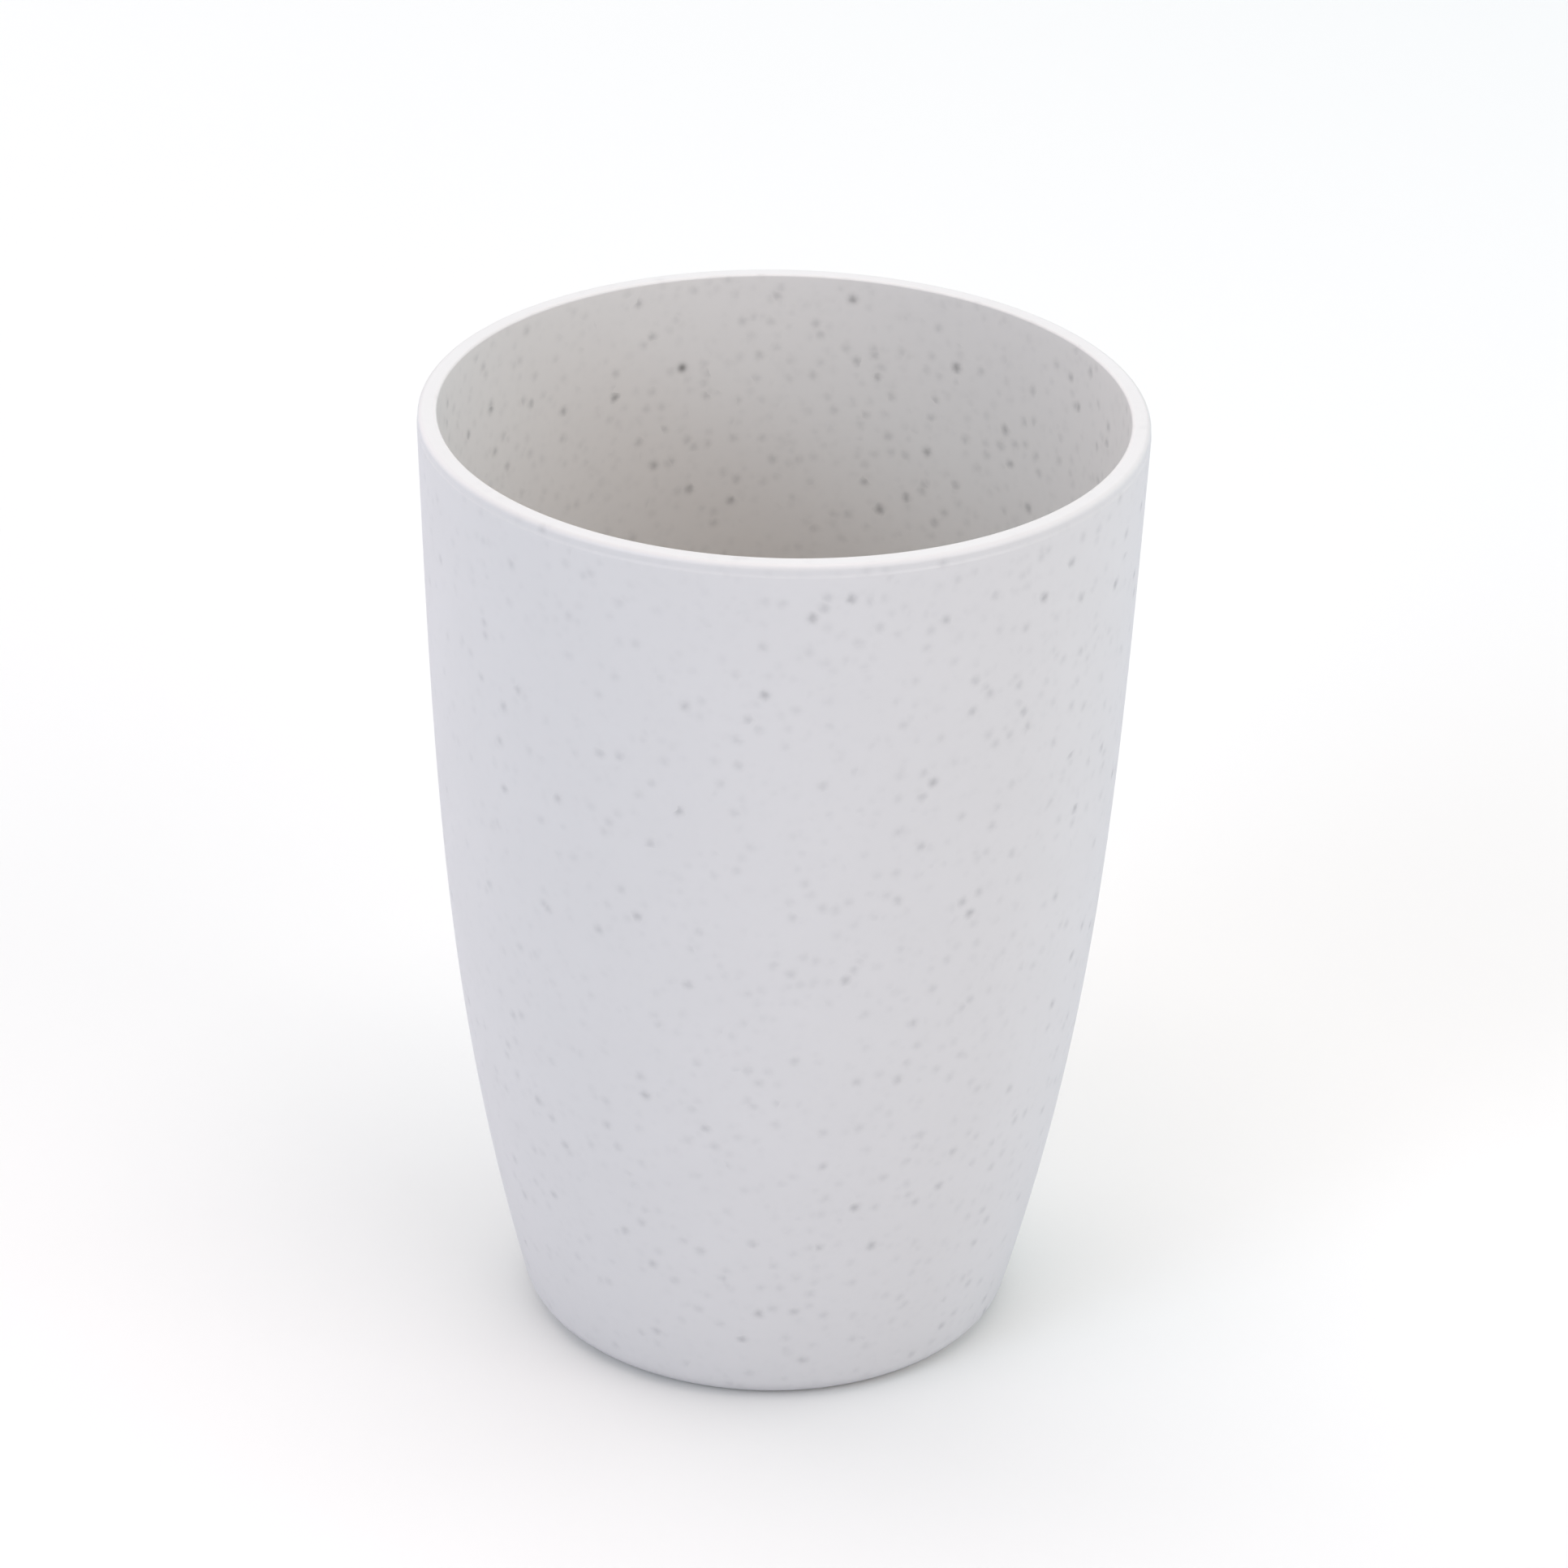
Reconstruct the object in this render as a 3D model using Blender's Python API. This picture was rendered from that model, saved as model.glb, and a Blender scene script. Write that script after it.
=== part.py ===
"""Bathroom tumbler, one plastic moulding 80 mm across and 110 mm high.

The cup stands on Z = 0 with its axis on +Z. It is one wall section turned about that axis: a floor and a curved
side of even wall, a lip with a flat land, and a foot ring round a shallow recess that holds the mould gate's mark.
"""

import math

import bmesh
import bpy
from mathutils import Vector

# Overall sizes
HEIGHT = 0.110
RIM_RADIUS = 0.040
FOOT_RADIUS = 0.0274
WALL = 0.0022
FLOOR = 0.0026

# The side leaves the rim almost upright and leans in more towards the foot
RIM_DRAFT = math.radians(2.2)
FOOT_DRAFT = math.radians(15)
RIM_REACH_SHARE = 0.40
FOOT_REACH_SHARE = 0.335

# Roundings
LIP_OUTER_RADIUS = 0.0006
LIP_INNER_RADIUS = 0.00025
HEEL_RADIUS = 0.0035
FLOOR_CORNER_RADIUS = 0.006
LIP_LIMIT_SHARE = 0.45

# The band below the lip's rounding, which the mould's lip ring shapes, and its small step out to the side
LIP_BAND_HEIGHT = 0.0004
LIP_BAND_STEP = 0.0001
LIP_BAND_RUN = 0.0005

# The underside: the ring that the cup stands on, the recess inside it and the gate's mark
RING_WIDTH = 0.0028
RECESS_DEPTH = 0.0012
RECESS_RUN = 0.0014
DIMPLE_RADIUS = 0.003
DIMPLE_DEPTH = 0.0004
DIMPLE_RUN = 0.0005
GATE_RADIUS = 0.0009
GATE_HEIGHT = 0.00025
GATE_TOP_SHARE = 0.8

# How finely the section and the turn are divided
TURN_STEPS = 88
SIDE_STEPS = 10
CURVE_STEPS = 6
ARC_STEP = math.radians(16)
HALVINGS = 40
WELD_DISTANCE = 0.00001
SHARP_ANGLE = math.radians(32)

# Warm off-white plastic with a silky surface
PLASTIC_COLOUR = (0.768, 0.75, 0.708, 1)
PLASTIC_ROUGHNESS = 0.45

DOWN = -math.pi / 2
UP = math.pi / 2


def clear_scene():
    for old in list(bpy.data.objects):
        bpy.data.objects.remove(old, do_unlink=True)


def side_knots():
    """The rim, the two handles and the foot of the curve that the outer face follows, as (radius, height)."""
    rim = Vector((RIM_RADIUS, HEIGHT))
    foot = Vector((FOOT_RADIUS, 0))
    below_rim = rim - Vector((math.tan(RIM_DRAFT), 1)) * RIM_REACH_SHARE * HEIGHT
    above_foot = foot + Vector((math.tan(FOOT_DRAFT), 1)) * FOOT_REACH_SHARE * HEIGHT
    return rim, below_rim, above_foot, foot


def side_inward(share):
    """The direction into the wall, this share of the way down the outer face."""
    rim, below_rim, above_foot, foot = side_knots()
    rest = 1 - share
    along = rest**2 * (below_rim - rim) + 2 * rest * share * (above_foot - below_rim)
    along += share**2 * (foot - above_foot)
    return Vector((along.y, -along.x)).normalized()


def side_point(share, depth):
    """A point this share of the way down the outer face, and this deep under it."""
    rim, below_rim, above_foot, foot = side_knots()
    rest = 1 - share
    point = rest**3 * rim + 3 * rest**2 * share * below_rim
    point += 3 * rest * share**2 * above_foot + share**3 * foot
    return point + depth * side_inward(share)


def share_at(height, depth):
    """The share of the way down at which the line of this depth passes this height."""
    above, below = 0, 1
    for _ in range(HALVINGS):
        middle = (above + below) / 2
        if side_point(middle, depth).y > height:
            above = middle
        else:
            below = middle
    return (above + below) / 2


def side_run(start, end, depth):
    """The points between two shares of the way down, without its two ends."""
    steps = range(1, SIDE_STEPS)
    return [side_point(start + (end - start) * step / SIDE_STEPS, depth) for step in steps]


def outward_angle(share):
    inward = side_inward(share)
    return math.atan2(-inward.y, -inward.x)


def arc(centre, radius, start, end):
    steps = max(1, math.ceil(abs(end - start) / ARC_STEP))
    angles = [start + (end - start) * step / steps for step in range(steps + 1)]
    return [centre + radius * Vector((math.cos(a), math.sin(a))) for a in angles]


def ease(start, end):
    """An S-shaped step that leaves and arrives level, without its first point."""
    across = end - start
    points = []
    for step in range(1, CURVE_STEPS + 1):
        share = step / CURVE_STEPS
        rise = (1 - math.cos(math.pi * share)) / 2
        points.append(start + Vector((across.x * share, across.y * rise)))
    return points


def lip_radius(wanted):
    return min(wanted, LIP_LIMIT_SHARE * WALL)


def inside_section():
    """From the middle of the floor to the lip's flat land."""
    floor_level = RECESS_DEPTH + FLOOR
    corner_depth = WALL + FLOOR_CORNER_RADIUS
    corner_share = share_at(floor_level + FLOOR_CORNER_RADIUS, corner_depth)
    corner = side_point(corner_share, corner_depth)
    lip = lip_radius(LIP_INNER_RADIUS)
    lip_share = share_at(HEIGHT - lip, WALL - lip)
    lip_centre = side_point(lip_share, WALL - lip)
    section = [Vector((0, floor_level))]
    section += arc(corner, FLOOR_CORNER_RADIUS, DOWN, outward_angle(corner_share))
    section += side_run(corner_share, lip_share, WALL)
    section += arc(lip_centre, lip, outward_angle(lip_share) + math.pi, UP)
    return section


def band_step(start, end):
    """The small step out from the lip's band to the side, between two shares of the way down."""
    points = []
    for step in range(1, CURVE_STEPS + 1):
        share = step / CURVE_STEPS
        depth = LIP_BAND_STEP * (1 + math.cos(math.pi * share)) / 2
        points.append(side_point(start + (end - start) * share, depth))
    return points


def outside_section():
    """From the lip's flat land to the edge of the ring that the cup stands on."""
    lip = lip_radius(LIP_OUTER_RADIUS)
    lip_depth = LIP_BAND_STEP + lip
    lip_share = share_at(HEIGHT - lip, lip_depth)
    band_low = HEIGHT - lip - LIP_BAND_HEIGHT
    band_start = share_at(band_low, LIP_BAND_STEP)
    band_end = share_at(band_low - LIP_BAND_RUN, 0)
    heel_share = share_at(HEEL_RADIUS, HEEL_RADIUS)
    section = arc(side_point(lip_share, lip_depth), lip, UP, outward_angle(lip_share))
    section.append(side_point(band_start, LIP_BAND_STEP))
    section += band_step(band_start, band_end)
    section += side_run(band_end, heel_share, 0)
    heel = side_point(heel_share, HEEL_RADIUS)
    section += arc(heel, HEEL_RADIUS, outward_angle(heel_share), DOWN)
    return section


def underside_section(ring_edge):
    """From the outer edge of the standing ring to the gate's mark on the axis."""
    ring_inner = ring_edge - Vector((RING_WIDTH, 0))
    recess = ring_inner + Vector((-RECESS_RUN, RECESS_DEPTH))
    dimple_edge = Vector((DIMPLE_RADIUS, RECESS_DEPTH))
    dimple = dimple_edge + Vector((-DIMPLE_RUN, DIMPLE_DEPTH))
    gate_level = dimple.y - GATE_HEIGHT
    section = [ring_inner]
    section += ease(ring_inner, recess)
    section.append(dimple_edge)
    section += ease(dimple_edge, dimple)
    section.append(Vector((GATE_RADIUS, dimple.y)))
    section.append(Vector((GATE_RADIUS * GATE_TOP_SHARE, gate_level)))
    section.append(Vector((0, gate_level)))
    return section


def cup_section():
    """The whole wall section, from the floor's middle over the lip and back to the axis below."""
    section = inside_section()
    section += outside_section()
    section += underside_section(section[-1])
    return section


def turned_mesh(name, section):
    """The solid that the section sweeps in one turn about Z."""
    bm = bmesh.new()
    verts = [bm.verts.new((point.x, 0, point.y)) for point in section]
    edges = [bm.edges.new(pair) for pair in zip(verts, verts[1:])]
    bmesh.ops.spin(
        bm,
        geom=verts + edges,
        cent=(0, 0, 0),
        axis=(0, 0, 1),
        angle=math.tau,
        steps=TURN_STEPS,
    )
    bmesh.ops.remove_doubles(bm, verts=bm.verts, dist=WELD_DISTANCE)
    bmesh.ops.recalc_face_normals(bm, faces=bm.faces)
    mesh = bpy.data.meshes.new(name)
    bm.to_mesh(mesh)
    bm.free()
    mesh.shade_smooth()
    mesh.set_sharp_from_angle(angle=SHARP_ANGLE)
    return mesh


def plastic():
    material = bpy.data.materials.new("cup_plastic")
    material.use_nodes = True
    shader = material.node_tree.nodes["Principled BSDF"]
    shader.inputs["Base Color"].default_value = PLASTIC_COLOUR
    shader.inputs["Roughness"].default_value = PLASTIC_ROUGHNESS
    shader.inputs["Metallic"].default_value = 0
    return material


def make_cup():
    mesh = turned_mesh("cup", cup_section())
    mesh.materials.append(plastic())
    cup = bpy.data.objects.new("cup", mesh)
    bpy.context.scene.collection.objects.link(cup)
    return cup


clear_scene()
make_cup()
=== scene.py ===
"""Looks of the flecked plastic tumbler.

The cup is one moulding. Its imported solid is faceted, so a finely turned piece of the same wall section
stands for it here and carries the finish: a silky off-white plastic with grey flecks through its whole
thickness.
"""

import math

import bmesh
import bpy
from mathutils import Matrix, Vector


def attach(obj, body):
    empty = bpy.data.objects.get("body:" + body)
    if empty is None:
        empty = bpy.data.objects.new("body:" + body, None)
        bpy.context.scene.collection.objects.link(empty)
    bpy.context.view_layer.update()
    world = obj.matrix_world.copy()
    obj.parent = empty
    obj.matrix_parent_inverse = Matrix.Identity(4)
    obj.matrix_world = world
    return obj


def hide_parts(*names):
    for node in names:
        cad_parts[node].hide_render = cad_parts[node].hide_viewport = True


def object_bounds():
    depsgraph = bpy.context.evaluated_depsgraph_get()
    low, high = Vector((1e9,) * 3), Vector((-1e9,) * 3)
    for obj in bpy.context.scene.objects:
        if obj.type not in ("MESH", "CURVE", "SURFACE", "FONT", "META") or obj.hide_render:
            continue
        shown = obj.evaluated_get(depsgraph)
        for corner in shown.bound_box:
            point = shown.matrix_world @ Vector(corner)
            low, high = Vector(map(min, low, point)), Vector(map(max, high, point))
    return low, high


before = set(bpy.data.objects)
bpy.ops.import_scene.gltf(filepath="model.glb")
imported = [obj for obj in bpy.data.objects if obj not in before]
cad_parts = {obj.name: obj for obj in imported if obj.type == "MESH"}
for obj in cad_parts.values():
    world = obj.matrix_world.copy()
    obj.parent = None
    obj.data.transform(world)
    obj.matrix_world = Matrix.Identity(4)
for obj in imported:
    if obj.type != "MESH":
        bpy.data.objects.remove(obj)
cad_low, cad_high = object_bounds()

MM = 0.001

# The wall section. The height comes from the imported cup, and the rest are the moulding's own sizes
HEIGHT = cad_high.z
RIM_RADIUS = 40.0 * MM
FOOT_RADIUS = 27.4 * MM
WALL = 2.2 * MM
FLOOR = 2.6 * MM
RIM_DRAFT = math.radians(2.2)
FOOT_DRAFT = math.radians(15)
RIM_REACH_SHARE = 0.40
FOOT_REACH_SHARE = 0.335
LIP_OUTER_RADIUS = 0.6 * MM
LIP_INNER_RADIUS = 0.25 * MM
LIP_BAND_HEIGHT = 0.4 * MM
LIP_BAND_STEP = 0.1 * MM
LIP_BAND_RUN = 0.5 * MM
HEEL_RADIUS = 3.5 * MM
FLOOR_CORNER_RADIUS = 6.0 * MM
RING_WIDTH = 2.8 * MM
RECESS_DEPTH = 1.2 * MM
RECESS_RUN = 1.4 * MM
DIMPLE_RADIUS = 3.0 * MM
DIMPLE_DEPTH = 0.4 * MM
DIMPLE_RUN = 0.5 * MM
GATE_RADIUS = 0.9 * MM
GATE_HEIGHT = 0.25 * MM
GATE_TOP_SHARE = 0.8

# How finely the piece is turned
TURN_STEPS = 288
SIDE_STEPS = 60
CURVE_STEPS = 12
ARC_STEP = math.radians(9)
FLAT_STEPS = 8
HALVINGS = 40
SHARP_ANGLE = math.radians(32)

DOWN = -math.pi / 2
UP = math.pi / 2

# The order of the materials on the piece
INSIDE_SKIN, OUTSIDE_SKIN, UNDERSIDE_SKIN = range(3)

# The camera: how it is turned, its lens, where it sees the middle of the mouth, and its near and far limits
CAMERA_PITCH = math.radians(27.38)
CAMERA_ROLL = math.radians(1.36)
SENSOR_WIDTH_MM = 36
FRAME_PIXELS = 1932
FOCAL_PIXELS = 7501
MOUTH_IN_CAMERA = Vector((0.06, 40.77, -662.1)) * MM
CLIP_START = 0.05
CLIP_END = 20


# Wall section

def side_knots():
    """The rim, the two handles and the foot of the curve that the outer face follows, as (radius, height)."""
    rim = Vector((RIM_RADIUS, HEIGHT))
    foot = Vector((FOOT_RADIUS, 0))
    below_rim = rim - Vector((math.tan(RIM_DRAFT), 1)) * RIM_REACH_SHARE * HEIGHT
    above_foot = foot + Vector((math.tan(FOOT_DRAFT), 1)) * FOOT_REACH_SHARE * HEIGHT
    return rim, below_rim, above_foot, foot


def side_inward(share):
    """The direction into the wall, this share of the way down the outer face."""
    rim, below_rim, above_foot, foot = side_knots()
    rest = 1 - share
    along = rest**2 * (below_rim - rim) + 2 * rest * share * (above_foot - below_rim)
    along += share**2 * (foot - above_foot)
    return Vector((along.y, -along.x)).normalized()


def side_point(share, depth):
    """A point this share of the way down the outer face, and this deep under it."""
    rim, below_rim, above_foot, foot = side_knots()
    rest = 1 - share
    point = rest**3 * rim + 3 * rest**2 * share * below_rim
    point += 3 * rest * share**2 * above_foot + share**3 * foot
    return point + depth * side_inward(share)


def share_at(height, depth):
    """The share of the way down at which the line of this depth passes this height."""
    above, below = 0, 1
    for _ in range(HALVINGS):
        middle = (above + below) / 2
        if side_point(middle, depth).y > height:
            above = middle
        else:
            below = middle
    return (above + below) / 2


def side_run(start, end, depth):
    """The points between two shares of the way down, without its two ends."""
    steps = range(1, SIDE_STEPS)
    return [side_point(start + (end - start) * step / SIDE_STEPS, depth) for step in steps]


def outward_angle(share):
    inward = side_inward(share)
    return math.atan2(-inward.y, -inward.x)


def arc(centre, radius, start, end):
    steps = max(1, math.ceil(abs(end - start) / ARC_STEP))
    angles = [start + (end - start) * step / steps for step in range(steps + 1)]
    return [centre + radius * Vector((math.cos(a), math.sin(a))) for a in angles]


def flat(start, end):
    """Even steps along a straight stretch, without its two ends."""
    return [start.lerp(end, step / FLAT_STEPS) for step in range(1, FLAT_STEPS)]


def ease(start, end):
    """An S-shaped step that leaves and arrives level, without its first point."""
    across = end - start
    points = []
    for step in range(1, CURVE_STEPS + 1):
        share = step / CURVE_STEPS
        rise = (1 - math.cos(math.pi * share)) / 2
        points.append(start + Vector((across.x * share, across.y * rise)))
    return points


def inside_section():
    """From the middle of the floor to the lip's flat land."""
    floor_level = RECESS_DEPTH + FLOOR
    corner_depth = WALL + FLOOR_CORNER_RADIUS
    corner_share = share_at(floor_level + FLOOR_CORNER_RADIUS, corner_depth)
    corner = side_point(corner_share, corner_depth)
    lip_depth = WALL - LIP_INNER_RADIUS
    lip_share = share_at(HEIGHT - LIP_INNER_RADIUS, lip_depth)
    lip_centre = side_point(lip_share, lip_depth)
    middle = Vector((0, floor_level))
    corner_arc = arc(corner, FLOOR_CORNER_RADIUS, DOWN, outward_angle(corner_share))
    section = [middle]
    section += flat(middle, corner_arc[0])
    section += corner_arc
    section += side_run(corner_share, lip_share, WALL)
    section += arc(lip_centre, LIP_INNER_RADIUS, outward_angle(lip_share) + math.pi, UP)
    return section


def band_step(start, end):
    """The small step out from the lip's band to the side, between two shares of the way down."""
    points = []
    for step in range(1, CURVE_STEPS + 1):
        share = step / CURVE_STEPS
        depth = LIP_BAND_STEP * (1 + math.cos(math.pi * share)) / 2
        points.append(side_point(start + (end - start) * share, depth))
    return points


def outside_section(land_start):
    """From the lip's flat land to the edge of the ring that the cup stands on."""
    lip_depth = LIP_BAND_STEP + LIP_OUTER_RADIUS
    lip_share = share_at(HEIGHT - LIP_OUTER_RADIUS, lip_depth)
    band_low = HEIGHT - LIP_OUTER_RADIUS - LIP_BAND_HEIGHT
    band_start = share_at(band_low, LIP_BAND_STEP)
    band_end = share_at(band_low - LIP_BAND_RUN, 0)
    heel_share = share_at(HEEL_RADIUS, HEEL_RADIUS)
    lip = arc(side_point(lip_share, lip_depth), LIP_OUTER_RADIUS, UP, outward_angle(lip_share))
    section = flat(land_start, lip[0])
    section += lip
    section.append(side_point(band_start, LIP_BAND_STEP))
    section += band_step(band_start, band_end)
    section += side_run(band_end, heel_share, 0)
    section += arc(side_point(heel_share, HEEL_RADIUS), HEEL_RADIUS, outward_angle(heel_share), DOWN)
    return section


def underside_section(ring_edge):
    """From the outer edge of the standing ring to the gate's mark on the axis."""
    ring_inner = ring_edge - Vector((RING_WIDTH, 0))
    recess = ring_inner + Vector((-RECESS_RUN, RECESS_DEPTH))
    dimple_edge = Vector((DIMPLE_RADIUS, RECESS_DEPTH))
    dimple = dimple_edge + Vector((-DIMPLE_RUN, DIMPLE_DEPTH))
    gate_foot = Vector((GATE_RADIUS, dimple.y))
    gate_level = dimple.y - GATE_HEIGHT
    section = flat(ring_edge, ring_inner)
    section.append(ring_inner)
    section += ease(ring_inner, recess)
    section += flat(recess, dimple_edge)
    section.append(dimple_edge)
    section += ease(dimple_edge, dimple)
    section.append(gate_foot)
    section.append(Vector((GATE_RADIUS * GATE_TOP_SHARE, gate_level)))
    section.append(Vector((0, gate_level)))
    return section


# Turned piece

def turned_ring(bm, first, step):
    """The first ring's points, this many steps round Z. A point on the axis stays the same point."""
    turn = Matrix.Rotation(math.tau * step / TURN_STEPS, 3, "Z")
    return [point if point.co.x == 0 else bm.verts.new(turn @ point.co) for point in first]


def join_rings(bm, ring, following, skins):
    """The faces between one ring and the following one. On the axis they are triangles."""
    for row in range(len(ring) - 1):
        corners = dict.fromkeys((ring[row], following[row], following[row + 1], ring[row + 1]))
        face = bm.faces.new(list(corners))
        face.material_index = skins[row]
        face.smooth = True


def turned_cup(name):
    """The cup, turned once about Z, with each stretch of its section on its own skin."""
    inside = inside_section()
    outside = outside_section(inside[-1])
    underside = underside_section(outside[-1])
    skins = [INSIDE_SKIN] * len(inside) + [OUTSIDE_SKIN] * len(outside)
    skins += [UNDERSIDE_SKIN] * len(underside)
    bm = bmesh.new()
    first = [bm.verts.new((point.x, 0, point.y)) for point in inside + outside + underside]
    ring = first
    for step in range(1, TURN_STEPS):
        following = turned_ring(bm, first, step)
        join_rings(bm, ring, following, skins)
        ring = following
    join_rings(bm, ring, first, skins)
    bmesh.ops.recalc_face_normals(bm, faces=bm.faces)
    mesh = bpy.data.meshes.new(name)
    bm.to_mesh(mesh)
    bm.free()
    mesh.set_sharp_from_angle(angle=SHARP_ANGLE)
    cup = bpy.data.objects.new(name, mesh)
    bpy.context.scene.collection.objects.link(cup)
    return cup


# Shader nodes

def add_node(tree, kind, values=None, **settings):
    """A node with its settings, and with each named or numbered input linked or set."""
    node = tree.nodes.new(kind)
    for setting, value in settings.items():
        setattr(node, setting, value)
    for socket, value in (values or {}).items():
        if isinstance(value, bpy.types.NodeSocket):
            tree.links.new(value, node.inputs[socket])
        else:
            node.inputs[socket].default_value = value
    return node


def maths(tree, operation, first, second=0.0, clamp=False):
    values = {0: first, 1: second}
    return add_node(tree, "ShaderNodeMath", values, operation=operation, use_clamp=clamp).outputs[0]


def ramp(tree, value, start, end, low=0.0, high=1.0):
    """value eased from low at start to high at end."""
    values = {"Value": value, "From Min": start, "From Max": end, "To Min": low, "To Max": high}
    node = add_node(tree, "ShaderNodeMapRange", values, interpolation_type="SMOOTHSTEP", clamp=True)
    return node.outputs["Result"]


def new_group(name, inputs, outputs):
    """An empty node group with float inputs and their usual values, and float outputs."""
    group = bpy.data.node_groups.new(name, "ShaderNodeTree")
    for socket, value in inputs.items():
        made = group.interface.new_socket(name=socket, in_out="INPUT", socket_type="NodeSocketFloat")
        made.default_value = value
    for socket in outputs:
        group.interface.new_socket(name=socket, in_out="OUTPUT", socket_type="NodeSocketFloat")
    given = group.nodes.new("NodeGroupInput").outputs
    result = group.nodes.new("NodeGroupOutput").inputs
    return group, given, result


def object_place(tree):
    """The place on the object itself, in metres."""
    return add_node(tree, "ShaderNodeTexCoord").outputs["Object"]


def vector(tree, operation, values):
    return add_node(tree, "ShaderNodeVectorMath", values, operation=operation).outputs["Vector"]


def soft_spot(tree, away, blur):
    """A round spot, 1 in its middle, that fades along a bell curve as wide as its blur."""
    widths = maths(tree, "DIVIDE", away, blur)
    squared = maths(tree, "MULTIPLY", widths, widths)
    return maths(tree, "EXPONENT", maths(tree, "MULTIPLY", squared, BELL_RATE))


def use_group(tree, group, values=None):
    return add_node(tree, "ShaderNodeGroup", values, node_tree=group)


# Shader groups

# A bell curve's rate of fall
BELL_RATE = -0.5

# How the flecks wander off the even cells that they are drawn in
WOBBLE_SIZE = 0.8 * MM
WOBBLE_REACH = 0.5 * MM
WOBBLE_DETAIL = 1
NOISE_MIDDLE = (0.5, 0.5, 0.5)

# The least draw that counts, which limits how dark a fleck can be
LEAST_DRAW = 0.01

# How finely the matt texture and the slow ripple are drawn
GRAIN_DETAIL = 3
RIPPLE_DETAIL = 1

# Scratches: how close they lie along each axis, and the noise at which one starts and is at its full depth
SCRATCH_SCALE = (900, 900, 5200)
SCRATCH_DETAIL = 2
SCRATCH_START = 0.60
SCRATCH_FULL = 0.72


def fleck_group():
    """Dark grains scattered through milky plastic. A grain looks fainter the deeper it lies."""
    usual = {"Spacing": 2 * MM, "Blur": 0.3 * MM, "Darkness": 0.1, "Seed": 0}
    group, given, result = new_group("scattered_flecks", usual, ["Mask"])
    place = object_place(group)
    waves = {"Vector": place, "Scale": 1 / WOBBLE_SIZE, "Detail": WOBBLE_DETAIL}
    wobble = add_node(group, "ShaderNodeTexNoise", waves).outputs["Color"]
    shift = vector(group, "SUBTRACT", {0: wobble, 1: NOISE_MIDDLE})
    shift = vector(group, "SCALE", {0: shift, "Scale": WOBBLE_REACH})
    place = vector(group, "ADD", {0: place, 1: shift})
    cells = vector(group, "SCALE", {0: place, "Scale": maths(group, "DIVIDE", 1, given["Spacing"])})
    cells = vector(group, "ADD", {0: cells, 1: given["Seed"]})
    grains = add_node(group, "ShaderNodeTexVoronoi", {"Vector": cells, "Scale": 1, "Randomness": 1}).outputs
    draw = add_node(group, "ShaderNodeTexWhiteNoise", {"Vector": grains["Color"]}).outputs["Value"]
    away = maths(group, "MULTIPLY", grains["Distance"], given["Spacing"])
    spot = soft_spot(group, away, given["Blur"])
    dark = maths(group, "LOGARITHM", maths(group, "MAXIMUM", draw, LEAST_DRAW), math.e)
    dark = maths(group, "MULTIPLY", maths(group, "MULTIPLY", dark, -1), given["Darkness"])
    group.links.new(maths(group, "MULTIPLY", spot, dark, clamp=True), result["Mask"])
    return group


def skin_group():
    """The mould's fine matt texture and the slow ripple of the flowing plastic, as a height in metres."""
    usual = {
        "Grain Size": 0.35 * MM,
        "Grain Depth": 0.004 * MM,
        "Ripple Size": 9 * MM,
        "Ripple Depth": 0.002 * MM,
    }
    group, given, result = new_group("moulded_skin", usual, ["Height", "Patch"])
    place = object_place(group)

    def waves(size, detail):
        values = {"Vector": place, "Scale": maths(group, "DIVIDE", 1, size), "Detail": detail}
        return add_node(group, "ShaderNodeTexNoise", values).outputs[0]

    grain = maths(group, "MULTIPLY", waves(given["Grain Size"], GRAIN_DETAIL), given["Grain Depth"])
    slow = waves(given["Ripple Size"], RIPPLE_DETAIL)
    ripple = maths(group, "MULTIPLY", slow, given["Ripple Depth"])
    group.links.new(maths(group, "ADD", grain, ripple), result["Height"])
    group.links.new(slow, result["Patch"])
    return group


def scuff_group():
    """Short fine scratches near the foot, where the cup is handled and set down."""
    group, given, result = new_group("handling_scuffs", {"Height": 5 * MM, "Amount": 0.5}, ["Mask"])
    place = object_place(group)
    level = add_node(group, "ShaderNodeSeparateXYZ", {0: place}).outputs["Z"]
    band = ramp(group, level, given["Height"], 0)
    streaks = add_node(group, "ShaderNodeMapping", {"Vector": place, "Scale": SCRATCH_SCALE}).outputs[0]
    noise = {"Vector": streaks, "Scale": 1, "Detail": SCRATCH_DETAIL}
    lines = add_node(group, "ShaderNodeTexNoise", noise).outputs[0]
    scratch = ramp(group, lines, SCRATCH_START, SCRATCH_FULL)
    mask = maths(group, "MULTIPLY", maths(group, "MULTIPLY", band, scratch), given["Amount"])
    group.links.new(mask, result["Mask"])
    return group


# Materials

PLASTIC_COLOUR = (0.768, 0.750, 0.708, 1)
# The inside is the same plastic, made a shade warmer as painted warm light bouncing about inside the cup
INSIDE_COLOUR_WITH_PAINTED_BOUNCE = (0.771, 0.747, 0.703, 1)
CLOUD_COLOUR = (0.992, 0.992, 0.992, 1)
FLECK_COLOUR = (0.13, 0.125, 0.12, 1)
PLASTIC_IOR = 1.49

# The stretches of the slow ripple over which the colour clouds and the skin grows rougher
CLOUD_START, CLOUD_END = 0.3, 0.7
ROUGH_START, ROUGH_END = 0.2, 0.8
ROUGHNESS_SPREAD = 0.04

# What a scuff does to the skin
SCUFF_ROUGHNESS = 0.15
SCUFF_DEPTH = 0.01 * MM

# The common flecks, whose spacing goes by the skin, and the fine faint ones between them
COMMON_BLUR = 0.38 * MM
COMMON_DARKNESS = 0.086
COMMON_SEED = 3.1
FINE_SPACING = 1.15 * MM
FINE_BLUR = 0.31 * MM
FINE_DARKNESS = 0.016
FINE_SEED = 41.3

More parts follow.
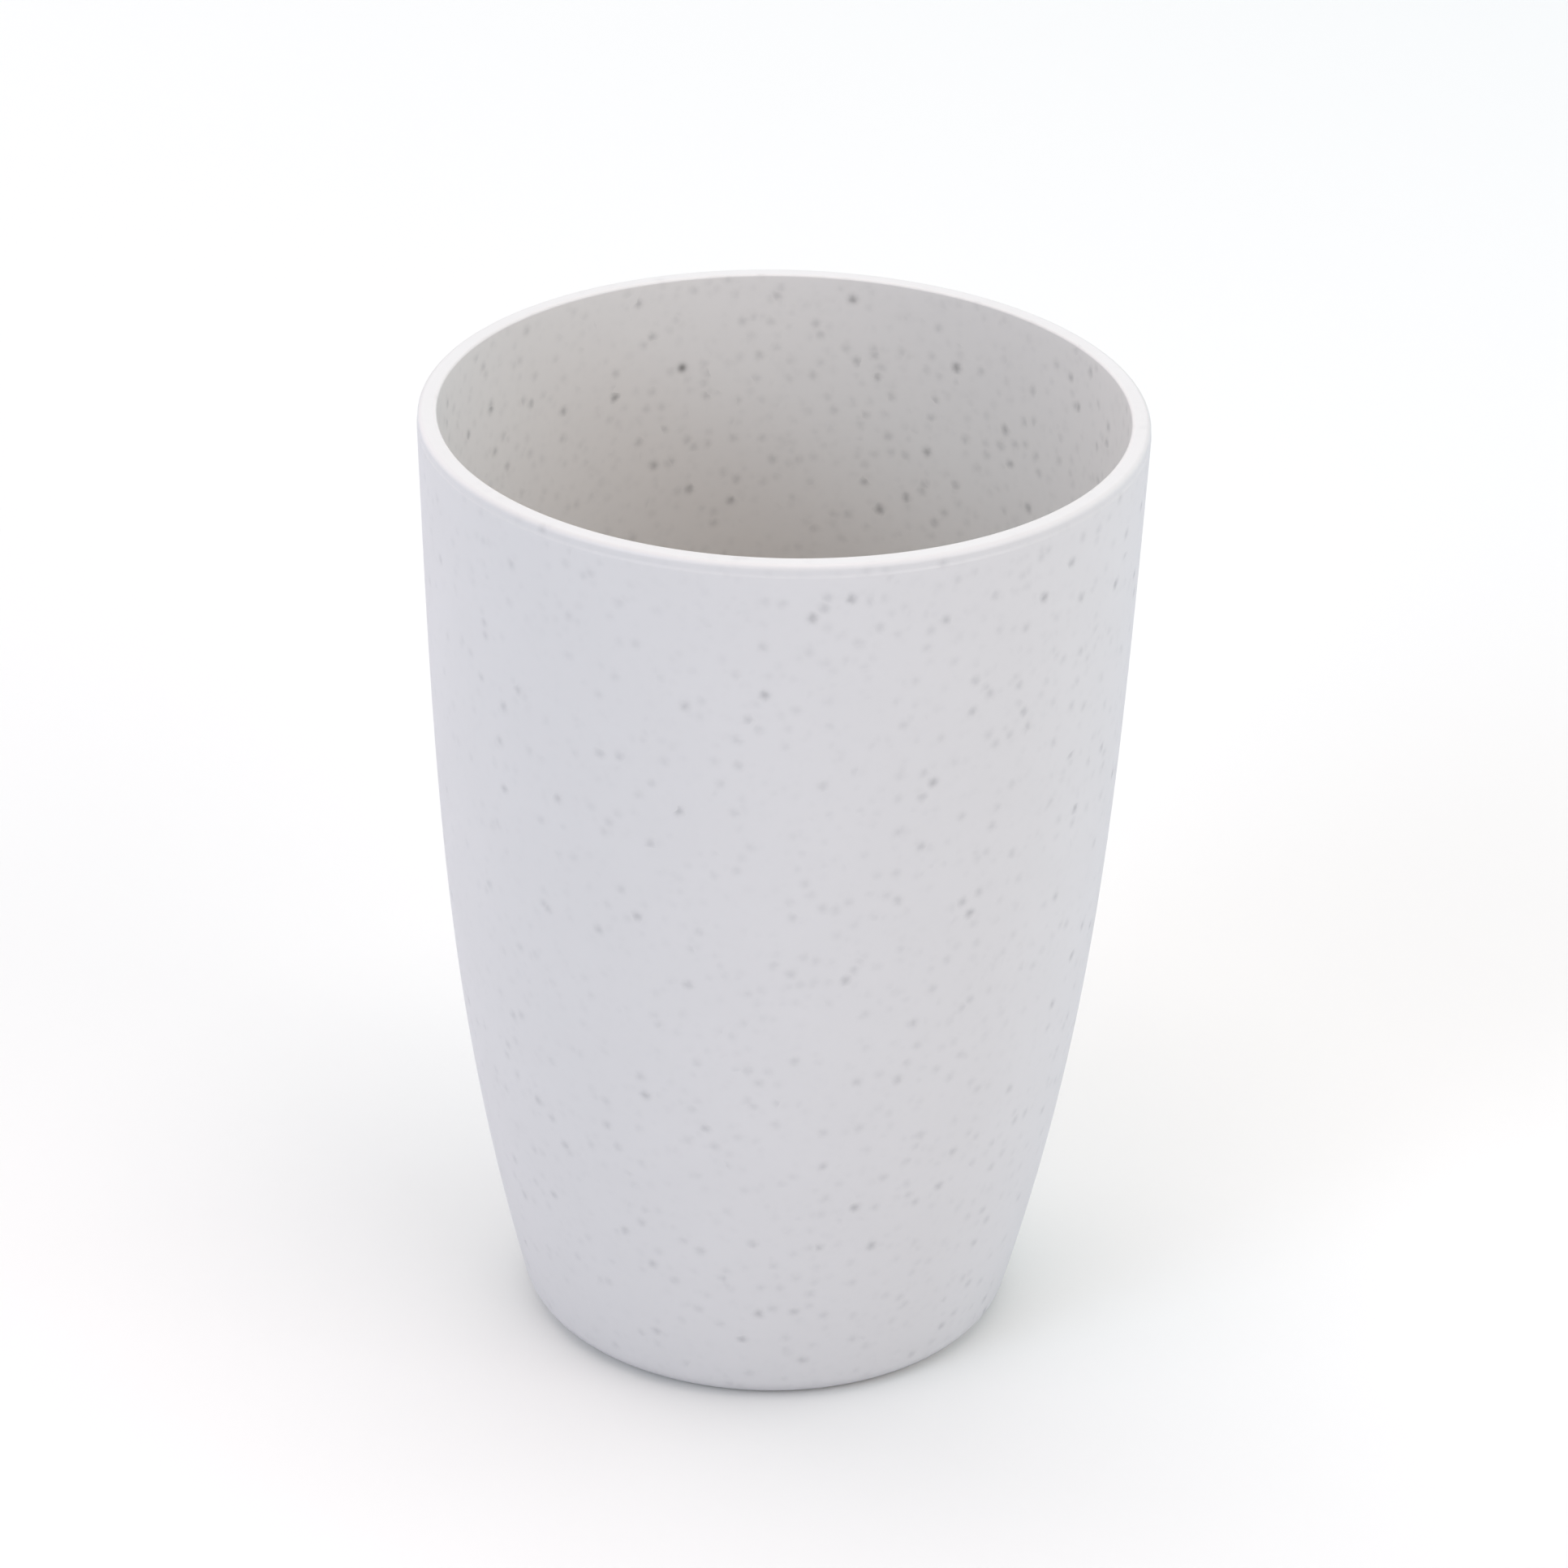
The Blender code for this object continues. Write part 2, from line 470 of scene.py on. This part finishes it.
# How far below the lip the flecks start and stop fading, how plain they stay there, and where to the right
# of the middle they are at their plainest
LIP_FADE_START = 1.2 * MM
LIP_FADE_END = 0.2 * MM
LIP_SHOW = 0.4
PLAINEST_FROM = RIM_RADIUS / 2

# Each skin: colour, fleck spacing, fleck strength, the share of that at the far left, roughness, how high the
# scuffs reach and how plain they are. They stand in the order of the materials on the piece
SKINS = {
    # The inside skin's colour carries the painted warm bounce light
    "inside_plastic": (INSIDE_COLOUR_WITH_PAINTED_BOUNCE, 1.75 * MM, 1.38, 1, 0.42, 20 * MM, 0.2),
    "outside_plastic": (PLASTIC_COLOUR, 2.0 * MM, 0.97, 0.66, 0.40, 8 * MM, 0.5),
    "underside_plastic": (PLASTIC_COLOUR, 2.0 * MM, 0.97, 0.66, 0.50, 2 * MM, 0.9),
}

# The one burnt grain, on the back of the inside
BURNT_GRAIN_SKIN = "inside_plastic"
BURNT_GRAIN_PLACE = Vector((-11.9, 35.4, 99.2)) * MM
BURNT_GRAIN_BLUR = 0.36 * MM
BURNT_GRAIN_SHOW = 0.7
BURNT_GRAIN_COLOUR = (0.05, 0.045, 0.04, 1)


def mixed(tree, factor, first, second, blend="MIX"):
    """The first colour, turning to the second, or multiplied by it, as the factor rises."""
    values = {"Factor": factor, "A": first, "B": second}
    return add_node(tree, "ShaderNodeMix", values, data_type="RGBA", blend_type=blend).outputs["Result"]


def fleck_show(tree, left_share):
    """How plainly the flecks show: fainter near the lip, and on the outside fainter towards the left."""
    place = add_node(tree, "ShaderNodeSeparateXYZ", {0: object_place(tree)}).outputs
    at_lip = ramp(tree, place["Z"], HEIGHT - LIP_FADE_START, HEIGHT - LIP_FADE_END, 1, LIP_SHOW)
    sideways = ramp(tree, place["X"], -RIM_RADIUS, PLAINEST_FROM, left_share, 1)
    return maths(tree, "MULTIPLY", at_lip, sideways)


def fleck_mask(tree, flecks, spacing, strength, left_share):
    """The common and the fine flecks together, as plain as they show on this skin."""
    common = {
        "Spacing": spacing,
        "Blur": COMMON_BLUR,
        "Darkness": COMMON_DARKNESS * strength,
        "Seed": COMMON_SEED,
    }
    fine = {
        "Spacing": FINE_SPACING,
        "Blur": FINE_BLUR,
        "Darkness": FINE_DARKNESS * strength,
        "Seed": FINE_SEED,
    }
    common_mask = use_group(tree, flecks, common).outputs["Mask"]
    fine_mask = use_group(tree, flecks, fine).outputs["Mask"]
    both = maths(tree, "ADD", common_mask, fine_mask)
    return maths(tree, "MULTIPLY", both, fleck_show(tree, left_share), clamp=True)


def burnt_grain(tree):
    """One burnt grain that lies just under the skin."""
    places = {0: object_place(tree), 1: BURNT_GRAIN_PLACE}
    away = add_node(tree, "ShaderNodeVectorMath", places, operation="DISTANCE").outputs["Value"]
    return maths(tree, "MULTIPLY", soft_spot(tree, away, BURNT_GRAIN_BLUR), BURNT_GRAIN_SHOW)


def flecked_plastic(name, groups, look):
    """Flecked moulded plastic. The cup's skins differ in their flecks, their roughness and their wear."""
    flecks, skin, scuffs = groups
    plain, spacing, strength, left_share, roughness, scuff_height, scuff_amount = look
    material = bpy.data.materials.new(name)
    material.use_nodes = True
    tree = material.node_tree
    shader = tree.nodes["Principled BSDF"]
    shader.inputs["IOR"].default_value = PLASTIC_IOR
    surface = use_group(tree, skin).outputs
    cloud = ramp(tree, surface["Patch"], CLOUD_START, CLOUD_END)
    colour = mixed(tree, cloud, plain, CLOUD_COLOUR, "MULTIPLY")
    colour = mixed(tree, fleck_mask(tree, flecks, spacing, strength, left_share), colour, FLECK_COLOUR)
    if name == BURNT_GRAIN_SKIN:
        colour = mixed(tree, burnt_grain(tree), colour, BURNT_GRAIN_COLOUR)
    tree.links.new(colour, shader.inputs["Base Color"])
    scuff = use_group(tree, scuffs, {"Height": scuff_height, "Amount": scuff_amount}).outputs["Mask"]
    smoothest = roughness - ROUGHNESS_SPREAD
    roughest = roughness + ROUGHNESS_SPREAD
    uneven = ramp(tree, surface["Patch"], ROUGH_START, ROUGH_END, smoothest, roughest)
    worn = maths(tree, "MULTIPLY", scuff, SCUFF_ROUGHNESS)
    tree.links.new(maths(tree, "ADD", uneven, worn), shader.inputs["Roughness"])
    scratched = maths(tree, "MULTIPLY", scuff, SCUFF_DEPTH)
    height = maths(tree, "SUBTRACT", surface["Height"], scratched)
    bump = add_node(tree, "ShaderNodeBump", {"Height": height, "Strength": 1, "Distance": 1})
    tree.links.new(bump.outputs["Normal"], shader.inputs["Normal"])
    return material


def dress_cup(cup):
    groups = fleck_group(), skin_group(), scuff_group()
    for name, look in SKINS.items():
        cup.data.materials.append(flecked_plastic(name, groups, look))


# Studio

FLOOR_RADIUS = 1.1
FLOOR_CORNERS = 128
FADE_RADIUS = 0.7
FLOOR_ROUGHNESS = 0.9
FLOOR_SHINE = 0.1
FLOOR_COLOUR = (0.711, 0.714, 0.74, 1)
FLOOR_SEEN_COLOUR = (0.91, 0.90, 0.85, 1)
BACKGROUND_COLOUR = (0.93, 0.93, 0.94, 1)
DAYLIGHT_COLOUR = (0.85, 0.92, 1, 1)
DAYLIGHT_STRENGTH = 0.3
SOFTBOX_DISTANCE = 1.0
BROAD = 0.9
NARROW = 0.35

# The lights' colours
WARM = (1, 0.88, 0.87)
NEUTRAL = (1, 0.94, 1)
LILAC = (0.9, 0.85, 1)
PALE_BLUE = (0.8, 0.93, 1)
BLUE = (0.65, 0.84, 1)

# Each softbox: degrees round from the front to the right, degrees above the floor, width, watts and colour
SOFTBOXES = {
    "top_softbox": (0, 90, BROAD, 4.8, WARM),
    "front_left_softbox": (-48, 27, BROAD, 2.6, LILAC),
    "narrow_left_softbox": (-45, 26, NARROW, 1.5, BLUE),
    "front_right_softbox": (48, 27, BROAD, 3.2, NEUTRAL),
    "right_softbox": (90, 30, BROAD, 1.9, PALE_BLUE),
    "back_left_softbox": (-129, 21, BROAD, 2.9, NEUTRAL),
    "back_right_softbox": (129, 21, BROAD, 1.3, BLUE),
    "back_softbox": (180, 30, BROAD, 1.9, PALE_BLUE),
}


def make_floor():
    """A disc of paper, near white to the eye, whose edge fades into the background."""
    bpy.ops.mesh.primitive_circle_add(vertices=FLOOR_CORNERS, radius=FLOOR_RADIUS, fill_type="NGON")
    floor = bpy.context.object
    floor.name = "studio_floor"
    material = bpy.data.materials.new("floor_paper")
    material.use_nodes = True
    tree = material.node_tree
    shader = tree.nodes["Principled BSDF"]
    direct = add_node(tree, "ShaderNodeLightPath").outputs["Is Camera Ray"]
    tree.links.new(mixed(tree, direct, FLOOR_COLOUR, FLOOR_SEEN_COLOUR), shader.inputs["Base Color"])
    shader.inputs["Roughness"].default_value = FLOOR_ROUGHNESS
    shader.inputs["Specular IOR Level"].default_value = FLOOR_SHINE
    place = object_place(tree)
    away = add_node(tree, "ShaderNodeVectorMath", {0: place}, operation="LENGTH").outputs["Value"]
    tree.links.new(ramp(tree, away, FADE_RADIUS, FLOOR_RADIUS, 1, 0), shader.inputs["Alpha"])
    floor.data.materials.append(material)


def make_world():
    """Soft daylight from all round, and a plain pale background behind the floor."""
    world = bpy.data.worlds.new("studio")
    bpy.context.scene.world = world
    world.use_nodes = True
    tree = world.node_tree
    daylight = tree.nodes["Background"]
    daylight.inputs["Color"].default_value = DAYLIGHT_COLOUR
    daylight.inputs["Strength"].default_value = DAYLIGHT_STRENGTH
    seen = add_node(tree, "ShaderNodeBackground", {"Color": BACKGROUND_COLOUR, "Strength": 1})
    direct = add_node(tree, "ShaderNodeLightPath").outputs["Is Camera Ray"]
    shown = add_node(tree, "ShaderNodeMixShader", {0: direct, 1: daylight.outputs[0], 2: seen.outputs[0]})
    tree.links.new(shown.outputs[0], tree.nodes["World Output"].inputs["Surface"])


def make_lights():
    """Broad softboxes round and above the cup, and a narrower one at the front left."""
    middle = Vector((0, 0, HEIGHT / 2))
    for name, (azimuth, elevation, width, power, colour) in SOFTBOXES.items():
        lamp = bpy.data.lights.new(name, "AREA")
        lamp.shape = "DISK"
        lamp.size = width
        lamp.energy = power
        lamp.color = colour
        softbox = bpy.data.objects.new(name, lamp)
        level = math.cos(math.radians(elevation))
        rise = math.sin(math.radians(elevation))
        across = math.radians(azimuth)
        towards = Vector((level * math.sin(across), -level * math.cos(across), rise))
        place = middle + SOFTBOX_DISTANCE * towards
        softbox.matrix_world = Matrix.LocRotScale(place, towards.to_track_quat("Z", "Y"), None)
        softbox.visible_camera = False
        bpy.context.scene.collection.objects.link(softbox)


def make_camera():
    """A long lens that looks down into the mouth, a little out of level."""
    data = bpy.data.cameras.new("camera")
    data.sensor_width = SENSOR_WIDTH_MM
    data.lens = FOCAL_PIXELS / FRAME_PIXELS * SENSOR_WIDTH_MM
    data.clip_start = CLIP_START
    data.clip_end = CLIP_END
    camera = bpy.data.objects.new("camera", data)
    turn = Matrix.Rotation(math.pi / 2 - CAMERA_PITCH, 3, "X") @ Matrix.Rotation(CAMERA_ROLL, 3, "Z")
    mouth = Vector((0, 0, HEIGHT))
    camera.matrix_world = Matrix.LocRotScale(mouth - turn @ MOUTH_IN_CAMERA, turn.to_quaternion(), None)
    bpy.context.scene.collection.objects.link(camera)
    bpy.context.scene.camera = camera


cup = turned_cup("cup_moulding")
dress_cup(cup)
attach(cup, "root")
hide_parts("cup")
make_floor()
make_world()
make_lights()
make_camera()
bpy.context.scene.view_settings.view_transform = "Standard"
